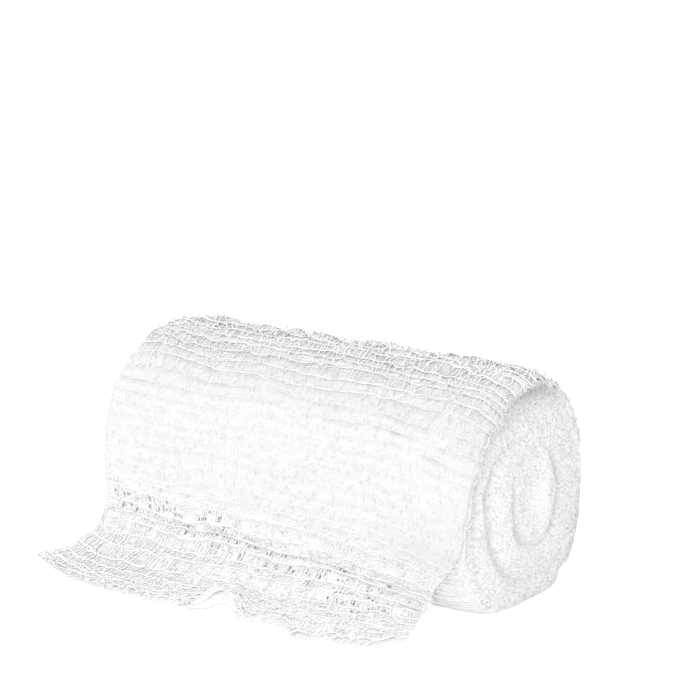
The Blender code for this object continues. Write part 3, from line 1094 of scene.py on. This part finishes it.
def selvage_loops(draw):
    """Yarns that turn back at the strip's two sides."""
    runs = np.arange(1.5, STRIP_RUN - 1, EDGE_LOOP_PITCH)
    run = np.concatenate((runs, runs)) + draw.uniform(-0.4, 0.4, 2 * len(runs))
    right = np.repeat((1.0, 0.0), len(runs))
    count = len(run)
    along = unit(strip_middle(right, run + 0.5) - strip_middle(right, run - 0.5))
    outer = unit(strip_middle(right, run) - strip_middle(0.98 * right + 0.01, run))
    normal = strip_normal(right, run)
    feet = on_strip(right, run, draw.uniform(-0.4, 0.35, count))
    outward = turned(outer, normal, draw.uniform(-0.5, 0.5, count))
    heading = turned(along, outer, draw.normal(0, 0.3, count))
    width, rise = draw.uniform(0.7, 1.5, count), draw.uniform(0.25, 0.85, count)
    return arches(feet, outward, heading, width, rise, 0.105, steps=6)


def cut_yarns(draw):
    """The yarns of the cut end, which stick out of it and bend."""
    share = np.sort(draw.uniform(0.004, 0.996, CUT_YARNS))
    run = np.full(CUT_YARNS, STRIP_RUN - 0.5)
    out = unit(strip_middle(share, run + 0.4) - strip_middle(share, run - 0.6))
    normal = strip_normal(share, run)
    across = np.cross(out, normal)
    length = draw.uniform(0.3, 1.4, CUT_YARNS)
    length = length * np.where(draw.random(CUT_YARNS) < 0.10, 2.0, 1.0)
    length = length * (1 - 0.65 * smoothstep(0.68, 0.78, share))
    bend, droop = draw.normal(0, 0.7, CUT_YARNS), draw.uniform(-0.3, 0.7, CUT_YARNS)
    step = np.linspace(0, 1, 6)[None, :, None]
    path = on_strip(share, run, draw.uniform(-0.55, 0.35, CUT_YARNS))[:, None]
    for way, reach, power in ((out, 1.0, 1), (across, bend, 2), (normal, droop, 2)):
        path = path + way[:, None] * (length * reach)[:, None, None] * step**power
    path[..., 2] = np.maximum(path[..., 2], 0.12)
    return tubes(path, np.broadcast_to(normal[:, None], path.shape), 0.11)


def make_edge_loops():
    """The selvage, the cut yarns of the strip's end and the threads that hang from it."""
    draw = np.random.default_rng(SEED + 6)
    parts = [selvage_loops(draw), cut_yarns(draw), long_frays()]
    return make_object("edge_loops", *join(parts), yarn_cotton)


# Loose threads of the cut end: where each begins, the point that bends it and where it ends.
FRAYS = (
    ((-23.8, -48.6, 0.7), (-19.6, -48.6, 1.3), (-22.2, -52.2, 0.2)),
    ((-14.4, -47.0, 1.2), (-17.6, -48.4, 1.1), (-19.4, -52.6, 0.2)),
    ((-15.2, -47.4, 1.0), (-16.8, -48.8, 0.9), (-18.2, -50.0, 0.3)),
    ((-2.9, -43.0, 4.9), (-1.6, -46.4, 2.6), (4.6, -49.8, 0.3)),
    ((-2.3, -42.9, 4.4), (0.2, -46.8, 2.4), (7.0, -51.6, 0.2)),
    ((-3.6, -43.4, 4.6), (-1.0, -47.0, 1.8), (3.4, -49.4, 0.3)),
    ((-1.8, -43.0, 3.9), (1.0, -46.6, 2.2), (5.6, -50.6, 0.5)),
    ((-58.0, -43.2, 2.0), (-60.2, -45.2, 1.6), (-60.0, -46.4, 0.8)),
    ((-40.0, -47.6, 0.8), (-41.5, -49.4, 0.9), (-39.2, -50.0, 0.3)),
    ((24.0, -51.4, 0.9), (24.6, -53.4, 0.8), (27.0, -53.0, 0.3)),
)


def long_frays():
    first, bend, last = (np.array([fray[k] for fray in FRAYS])[:, None] for k in range(3))
    step = np.linspace(0, 1, 14)[None, :, None]
    path = (1 - step) ** 2 * first + 2 * (1 - step) * step * bend + step**2 * last
    path = path + 0.12 * np.sin(step * [9.0, 13.0, 11.0] + first[..., :1])
    path[..., 2] = np.maximum(path[..., 2], 0.15)
    return tubes(path, np.broadcast_to([0.0, 0.0, 1.0], path.shape), 0.12, 4)


# ---- the wound body --------------------------------------------------------
BODY_AROUND = 400
RIGHT_RINGS = 100
LEFT_RINGS = 44
FINE_TURNS = 30
FINE_DEPTH = 0.12
GROOVE_DEPTH = 1.5
GROOVE_HALF_WIDTH = 0.06      # as a share of the way from the core to the rim
CREASE_DEPTH = 0.25
CREASE_HALF_WIDTH = 0.022
# The core's folded end stands out as a lobe, with a hollow beside it. Columns: y, z, half-width
# in y, half-width in z, height
CORE_LOBES = (
    (8.3, 27.5, 3.4, 9.0, 1.5),
    (0.6, 25.0, 3.2, 6.0, -0.8),
    (-12.5, 29.0, 4.0, 14.0, 0.6),
)
# Painted shade on an end face towards its rim, where it faces away from the light.
# Columns: share from, share to, degrees, half-width in degrees, amount
RIM_SHADE = (
    (0.70, 0.98, 85, 42, 0.55),
    (0.60, 1.00, 320, 60, 0.20),
    (0.86, 1.00, 318, 42, 0.70),
    (0.90, 0.99, 74, 23, 0.85),
)
GRAIN = 0.12
FILL = 0.35                    # how far the looks reach into the turn that lies on the winding
FLUSH_FILL = 0.75              # and how much further where its edge is flush with the rim
FLUSH_UNTIL = 66               # which is so up to here
granules = waves(30, ((1.0, 2.6), (1.0, 2.6)), 14)
lumps = waves(31, ((5, 14), (5, 14)))


def run_at(angle):
    """How far along the strip that angle of the section is."""
    return (np.degrees(angle) - START_ANGLE) % 360 * LEAVE_ARC / (LEAVE_DEGREES - START_ANGLE)


def filled_gap(angle, x):
    """What the looks add to the winding's radius to meet the loose turn that lies on it."""
    run = run_at(angle)
    under = smoothstep(0, 3, run) * (1 - smoothstep(LEAVE_ARC - 3, LEAVE_ARC + 3, run))
    at_end = smoothstep(HALF_WIDTH - 6, HALF_WIDTH, np.abs(x))
    flush = at_end * (1 - smoothstep(FLUSH_UNTIL - 8, FLUSH_UNTIL + 8, run))
    return under * (PIECE_GAP + FILL + FLUSH_FILL * flush)


def body_radius(angle, x):
    under = filled_gap(angle, x)
    radius = section_radius(angle) - shoulder_drop(angle, x, under)
    return radius + np.maximum(under, emerging_step(angle))


# The crease between the main turns winds outwards, flattened by the roll's own weight.
# Columns: degrees turned, share of the way from the core to the rim, and how deep it is
SPIRAL = (
    (60, 0.470, 0.0),
    (90, 0.520, 0.2),
    (120, 0.520, 0.3),
    (144, 0.487, 0.5),
    (162, 0.426, 0.8),
    (182, 0.387, 1.0),
    (205, 0.362, 1.0),
    (236, 0.377, 0.8),
    (262, 0.420, 0.5),
    (288, 0.430, 0.6),
    (311, 0.404, 1.0),
    (330, 0.407, 1.0),
    (355, 0.434, 1.0),
    (382, 0.438, 1.0),
    (410, 0.455, 0.7),
    (432, 0.516, 0.3),
    (450, 0.600, 0.1),
    (470, 0.710, 0.3),
    (492, 0.800, 0.6),
    (506, 0.810, 0.9),
    (521, 0.794, 1.0),
    (535, 0.775, 1.0),
    (549, 0.737, 1.0),
    (566, 0.697, 1.0),
    (584, 0.675, 0.8),
    (603, 0.710, 0.5),
    (640, 0.760, 0.3),
    (700, 0.820, 0.2),
    (760, 0.870, 0.2),
    (820, 0.920, 0.2),
    (860, 0.950, 0.6),
    (885, 0.945, 0.8),
    (900, 0.918, 0.7),
    (930, 0.920, 0.3),
    (960, 0.930, 0.0),
)


def by_the_spiral(share, angle, half_width):
    """1 on the crease between two main turns, where it is deep, and 0 away from it."""
    total = 0.0
    for turns in range(3):
        turned_by = np.degrees(angle) % 360 + 360 * turns
        line, crease_and_painted_shade = read_table(SPIRAL, turned_by)
        crease_and_painted_shade = crease_and_painted_shade * ((turned_by >= SPIRAL[0][0]) & (turned_by <= SPIRAL[-1][0]))
        total = np.maximum(total, crease_and_painted_shade * bell(share - line, half_width))
    return total


def crease_at(share, angle):
    return by_the_spiral(share, angle, CREASE_HALF_WIDTH)


def face_height(share, angle):
    """How far an end face stands out: the main turns, their creases and the fine turns."""
    groove = GROOVE_DEPTH * by_the_spiral(share, angle, GROOVE_HALF_WIDTH)
    groove = groove + CREASE_DEPTH * crease_at(share, angle)
    bulge = FACE_BULGE * np.maximum(np.sin(math.pi * np.minimum(share, 1)), 0) ** BULGE_FULLNESS
    fine = np.cos(math.tau * (share * FINE_TURNS - angle / math.tau))
    fine = FINE_DEPTH * fine * smoothstep(0.03, 0.12, share) * (1 - smoothstep(0.96, 1.0, share))
    return bulge - groove + fine


def core_relief(y, z):
    """How far the lobes of the core stand out."""
    return sum(
        rise * bell(y - lobe_y, width) * bell(z - lobe_z, tall)
        for lobe_y, lobe_z, width, tall, rise in CORE_LOBES
    )


def face_point(side, share, angle, height=0.0):
    x = side * HALF_WIDTH
    radius = section_radius(angle) - shoulder_drop(angle, x)
    step = np.maximum(filled_gap(angle, x), emerging_step(angle))
    radius = radius * share + step * share**STEP_RIM_POWER
    to_core = (1 - share) ** CORE_PINCH
    y = radius * np.cos(angle) + CORE_BACK * to_core
    z = np.maximum(AXIS_HEIGHT + radius * np.sin(angle), 0.0) - CORE_DROP * to_core
    relief = 0.12 * granules(y, z) + 0.2 * lumps(y, z) + core_relief(y, z)
    relief = relief * (1 - smoothstep(0.95, 1, share))
    return np.stack((x + side * (face_height(share, angle) + relief + height), y, z), -1)


def face_shading(points, share, angle):
    """How much painted shade dims an end face: in its creases, under the loose turn and towards the
    back, and how much painted light brightens its core's lobes.
    """
    y, z = points[:, 1], points[:, 2]
    degrees = np.degrees(angle)
    # painted shade in the spiral's creases, and in a band beside the core
    crease_and_painted_shade = 0.36 + 0.36 * by_the_spiral(share, angle, 0.045) + 0.20 * crease_at(share, angle)
    crease_and_painted_shade = crease_and_painted_shade + 0.15 * bell(y - 15.5, 3.0) * bell(z - 28, 10)
    # painted light on the core's lobes, painted shade in the hollow beside them
    crease_and_painted_shade = crease_and_painted_shade - 0.20 * core_relief(y, z)
    for low, high, middle, spread, amount in RIM_SHADE:
        crease_and_painted_shade = crease_and_painted_shade + amount * smoothstep(low, high, share) * bell(degrees - middle, spread)
    # a painted shadow along the rim, under the loose turn's edge
    strip_edge_shadow = bell(share - 1, 0.02) * smoothstep(60, 80, degrees) * (1 - smoothstep(195, 212, degrees))
    return crease_and_painted_shade + 0.9 * strip_edge_shadow


def side_point(angle, x):
    radius = body_radius(angle, x)
    y = radius * np.cos(angle)
    z = np.maximum(AXIS_HEIGHT + radius * np.sin(angle), 0.0)
    return np.stack(np.broadcast_arrays(x, y, z), -1)


def speckles(draw, share, ring_gap):
    """Random values round an end face's ring, about as far apart as the rings are."""
    around = max(6, int(math.tau * SECTION_DEPTH * share / ring_gap))
    values = draw.normal(0, 1, around)
    if around >= BODY_AROUND:
        return draw.normal(0, 1, BODY_AROUND)
    at = np.arange(BODY_AROUND) * around / BODY_AROUND
    return np.interp(at, np.arange(around + 1), np.append(values, values[0])) * 1.15


def side_shading(angle, x):
    """How much painted shade dims the winding's side: near its right end, and where it is bare."""
    degrees = np.degrees(angle)
    rim = 0.5 * smoothstep(46, HALF_WIDTH, x) * bell(degrees - 70, 55)
    rim = rim + 1.3 * smoothstep(48, HALF_WIDTH, x) * bell(degrees - 318, 32)
    bare = smoothstep(190, 200, degrees) * (1 - smoothstep(262, 285, degrees))
    return 0.46 + 0.12 * bare + 0.7 * rim


def face_rings(draw, side, shares, angle):
    """The rings of points of an end face, each with how much painted shade and mottle dim it."""
    for share in shares:
        ring = face_point(side, share, angle)
        speckle = speckles(draw, share, SECTION_DEPTH / (len(shares) + 1))
        ring[:, 0] += side * GRAIN * min(1.0, share * 4) * speckle
        mottle = 0.15 + 0.4 * smoothstep(0.84, 0.96, share) * bell(np.degrees(angle) - 322, 45)
        yield ring, 0.15 + 0.7 * (face_shading(ring, share, angle) - mottle * speckle)


def side_rings(draw, stations, angle):
    """The same along the winding's side."""
    mottle = 0.07 + 0.25 * bell(np.degrees(angle) - 325, 32)
    for x in stations:
        speckle = draw.normal(0, 1, BODY_AROUND)
        yield side_point(angle, x), side_shading(angle, x) - mottle * speckle


def make_winding():
    draw = np.random.default_rng(SEED + 9)
    angle = np.arange(BODY_AROUND) * math.tau / BODY_AROUND
    shoulder = HALF_WIDTH - SHOULDER_LENGTH * (1 - np.linspace(0, 1, 12) ** 0.6)
    stations = np.concatenate((-shoulder[::-1], np.linspace(-40, 40, 9), shoulder))
    left = np.arange(1, LEFT_RINGS) / LEFT_RINGS
    right = np.arange(RIGHT_RINGS - 1, 0, -1) / RIGHT_RINGS
    rings, painted_shades = zip(
        *face_rings(draw, -1, left, angle),
        *side_rings(draw, stations, angle),
        *face_rings(draw, 1, right, angle),
    )
    ends = [face_point(side, np.float64(0), np.float64(0)) for side in (-1, 1)]
    points = np.concatenate((*rings, *(end[None] for end in ends)))
    index = np.arange(len(rings) * BODY_AROUND).reshape(len(rings), BODY_AROUND)
    after = np.roll(index, -1, axis=1)
    walls = np.stack((index[:-1], after[:-1], after[1:], index[1:]), -1).reshape(-1, 4)
    first = np.stack((after[0], index[0], np.full(BODY_AROUND, index.size)), -1)
    last = np.stack((index[-1], after[-1], np.full(BODY_AROUND, index.size + 1)), -1)
    drop_and_painted_shade = np.concatenate((*painted_shades, [0.0, 0.0]))
    faces = [walls, np.concatenate((first, last))]
    return make_object("winding", points, faces, end_cotton, drop_and_painted_shade)


RIGHT_LOOP_PITCH = 0.78
LEFT_LOOP_PITCH = 1.1


def make_end_loops(side, name, pitch):
    """Loops of the strip's selvage, which stand on an end face along its turns."""
    draw = np.random.default_rng(SEED + 40 + side)
    count = int(math.pi * SECTION_DEPTH**2 / pitch**2)
    share = np.sqrt((np.arange(count) + draw.uniform(0, 1, count)) / count) * 0.995
    angle = (np.arange(count) * math.pi * (3 - math.sqrt(5))) + draw.normal(0, 0.02, count)
    angle = angle % math.tau
    foot = face_point(side, share, angle, -0.06)
    near = face_point(side, share, angle + 0.01)
    along = unit((near - foot) * [0, 1, 1])
    across = np.stack((np.zeros(count), -along[:, 2], along[:, 1]), -1)
    heading = turned(along, across, draw.normal(0, 0.7, count))
    lean = draw.normal(0, 0.4, (count, 3)) * [0, 1, 1]
    outward = unit(np.array([side, 0.0, 0.0]) + lean)
    width = draw.uniform(0.28, 0.55, count)
    rise = draw.uniform(0.10, 0.34, count)
    points, faces = arches(foot, outward, heading, width, rise, 0.07)
    # evenly dimmed by painted shade
    return make_object(name, points, faces, yarn_cotton, np.full(len(points), 0.42))


def on_winding(angle, x, height):
    """A point above the winding's side."""
    point = side_point(angle, x)
    outward = np.stack(np.broadcast_arrays(0.0, np.cos(angle), np.sin(angle)), -1)
    point = point + outward * np.asarray(height)[..., None]
    point[..., 2] = np.maximum(point[..., 2], 0.15)
    return point, outward


# Bare parts of the winding's side, in degrees from the back over the top: from, to
BARE_PARTS = ((203, 252), (-84, -56))
# Painted shade on the bare winding's yarns
BARE_SHADE = 0.12
# Ends of yarn that stand out low on the bare winding, in shade. Columns: x, degrees
THREAD_ENDS = ((34.3, 250.5), (35.1, 251.0), (35.9, 251.5), (41.0, 249.0), (47.3, 248.5))
THREAD_END_SHADE = 1.9


def thread_ends():
    """Points and faces of those ends, a little in front of the surface."""
    x, degrees = np.array(THREAD_ENDS).T
    feet, _ = on_winding(np.radians(degrees), x, 0.2)
    outward = np.broadcast_to([0.52, -0.81, 0.27], feet.shape)
    feet = feet + 0.4 * outward + [0.0, 0.0, 0.3]
    heading = unit(np.broadcast_to([0.44, 0.52, 0.77], feet.shape))
    return arches(feet, outward, heading, np.full(len(x), 1.1), np.full(len(x), 0.2), 0.16)


def make_inner_weave():
    """Rows and rungs of the turn below, where the loose turn has left the winding bare."""
    draw = np.random.default_rng(SEED + 8)
    wobble = waves(41, ((6, 30), (0.5, 3)))
    parts = []
    for low, high in BARE_PARTS:
        x = np.linspace(-HALF_WIDTH, HALF_WIDTH, 90)
        for middle in np.arange(low, high, 3.2):
            angle = np.radians(middle + draw.uniform(-0.6, 0.6) + 1.1 * wobble(x, middle * 3))
            path, outward = on_winding(angle, x, 0.11)
            parts.append(tubes(path[None], outward[None], draw.choice((0.11, 0.15))))
        steps = np.radians(np.linspace(low, high, 22))[None]
        across = np.linspace(-HALF_WIDTH + 0.6, HALF_WIDTH - 0.6, 92)[:, None]
        across = across + 0.35 * wobble(steps * 1600, across * 0.9)
        steps = np.broadcast_to(steps, across.shape)
        crimp = 0.03 + 0.09 * np.sin(np.degrees(steps) * 1.9 + across * 3)
        path, outward = on_winding(steps, across, crimp)
        parts.append(tubes(path, outward, 0.10))
    weave_points = sum(len(points) for points, _ in parts)
    points, faces = join([*parts, thread_ends()])
    drop_and_painted_shade = np.where(np.arange(len(points)) < weave_points, BARE_SHADE, THREAD_END_SHADE)
    return make_object("inner_weave", points, faces, yarn_cotton, drop_and_painted_shade)


# ---- stage -----------------------------------------------------------------
AZIMUTH, ELEVATION = 32.7, 14.6
DISTANCE = 800.7
FOCAL_PIXELS = 3100.0
FRAME_PIXELS = 700.0
ORIGIN_PIXEL = (340.1, 565.7)  # where the photo shows the point under the roll's middle
SENSOR = 36.0
LIGHTS_AIM = (0, 0, 0.03)      # in metres, as the lights' own places are


def make_camera():
    turn, tilt = math.radians(AZIMUTH), math.radians(ELEVATION)
    back = Vector(
        (math.sin(turn) * math.cos(tilt), -math.cos(turn) * math.cos(tilt), math.sin(tilt))
    )
    right = Vector((math.cos(turn), math.sin(turn), 0.0))
    up = back.cross(right)
    per_pixel = DISTANCE / FOCAL_PIXELS
    off_right = (ORIGIN_PIXEL[0] - FRAME_PIXELS / 2) * per_pixel
    off_down = (ORIGIN_PIXEL[1] - FRAME_PIXELS / 2) * per_pixel
    place = (back * DISTANCE - right * off_right + up * off_down) * METRES
    data = bpy.data.cameras.new("camera")
    data.sensor_width = SENSOR
    data.lens = SENSOR * FOCAL_PIXELS / FRAME_PIXELS
    made = placed("camera", data)
    made.matrix_world = Matrix.Translation(place) @ Matrix((right, up, back)).transposed().to_4x4()
    bpy.context.scene.camera = made


def make_light(name, place, size, energy):
    data = bpy.data.lights.new(name, "AREA")
    data.shape = "DISK"
    data.size = size
    data.energy = energy
    made = placed(name, data)
    made.location = place
    aim = Vector(LIGHTS_AIM) - Vector(place)
    made.rotation_euler = aim.to_track_quat("-Z", "Y").to_euler()


def make_stage():
    bpy.ops.mesh.primitive_plane_add(size=8.0, location=(0, 0, -0.0002))
    floor = bpy.context.object
    floor.name = "floor"
    material = bpy.data.materials.new("pale_floor")
    material.use_nodes = True
    set_inputs(material.node_tree.nodes["Principled BSDF"], {
        "Base Color": (0.5, 0.5, 0.5, 1),
        "Roughness": 0.9,
        "Specular IOR Level": 0.1,
        "Emission Color": (1, 1, 1, 1),
        "Emission Strength": 0.68,
    })
    floor.data.materials.append(material)
    world = bpy.data.worlds.new("soft_studio")
    world.use_nodes = True
    set_inputs(world.node_tree.nodes["Background"], {"Color": (1, 1, 1, 1), "Strength": 1.10})
    bpy.context.scene.world = world
    make_light("key", (-0.2, -0.65, 0.95), 0.7, 2.5)
    make_light("fill", (0.45, -0.95, 0.4), 0.8, 2.4)
    bpy.context.scene.view_settings.view_transform = "Standard"


# ---- putting it together ---------------------------------------------------
def main():
    make_camera()
    make_stage()
    ground = make_ground()
    strip = [
        make_lower_ply(),
        make_rows(),
        make_fine_rows(),
        make_rungs(),
        make_loose_loops(),
        make_edge_loops(),
    ]
    winding = make_winding()
    ends = [
        make_end_loops(1, "right_end_loops", RIGHT_LOOP_PITCH),
        make_end_loops(-1, "left_end_loops", LEFT_LOOP_PITCH),
        make_inner_weave(),
    ]
    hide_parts("loose_end")
    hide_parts("wound_roll")
    for piece in (ground, *strip):
        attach(piece, "root")
    for piece in (winding, *ends):
        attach(piece, "root")


main()
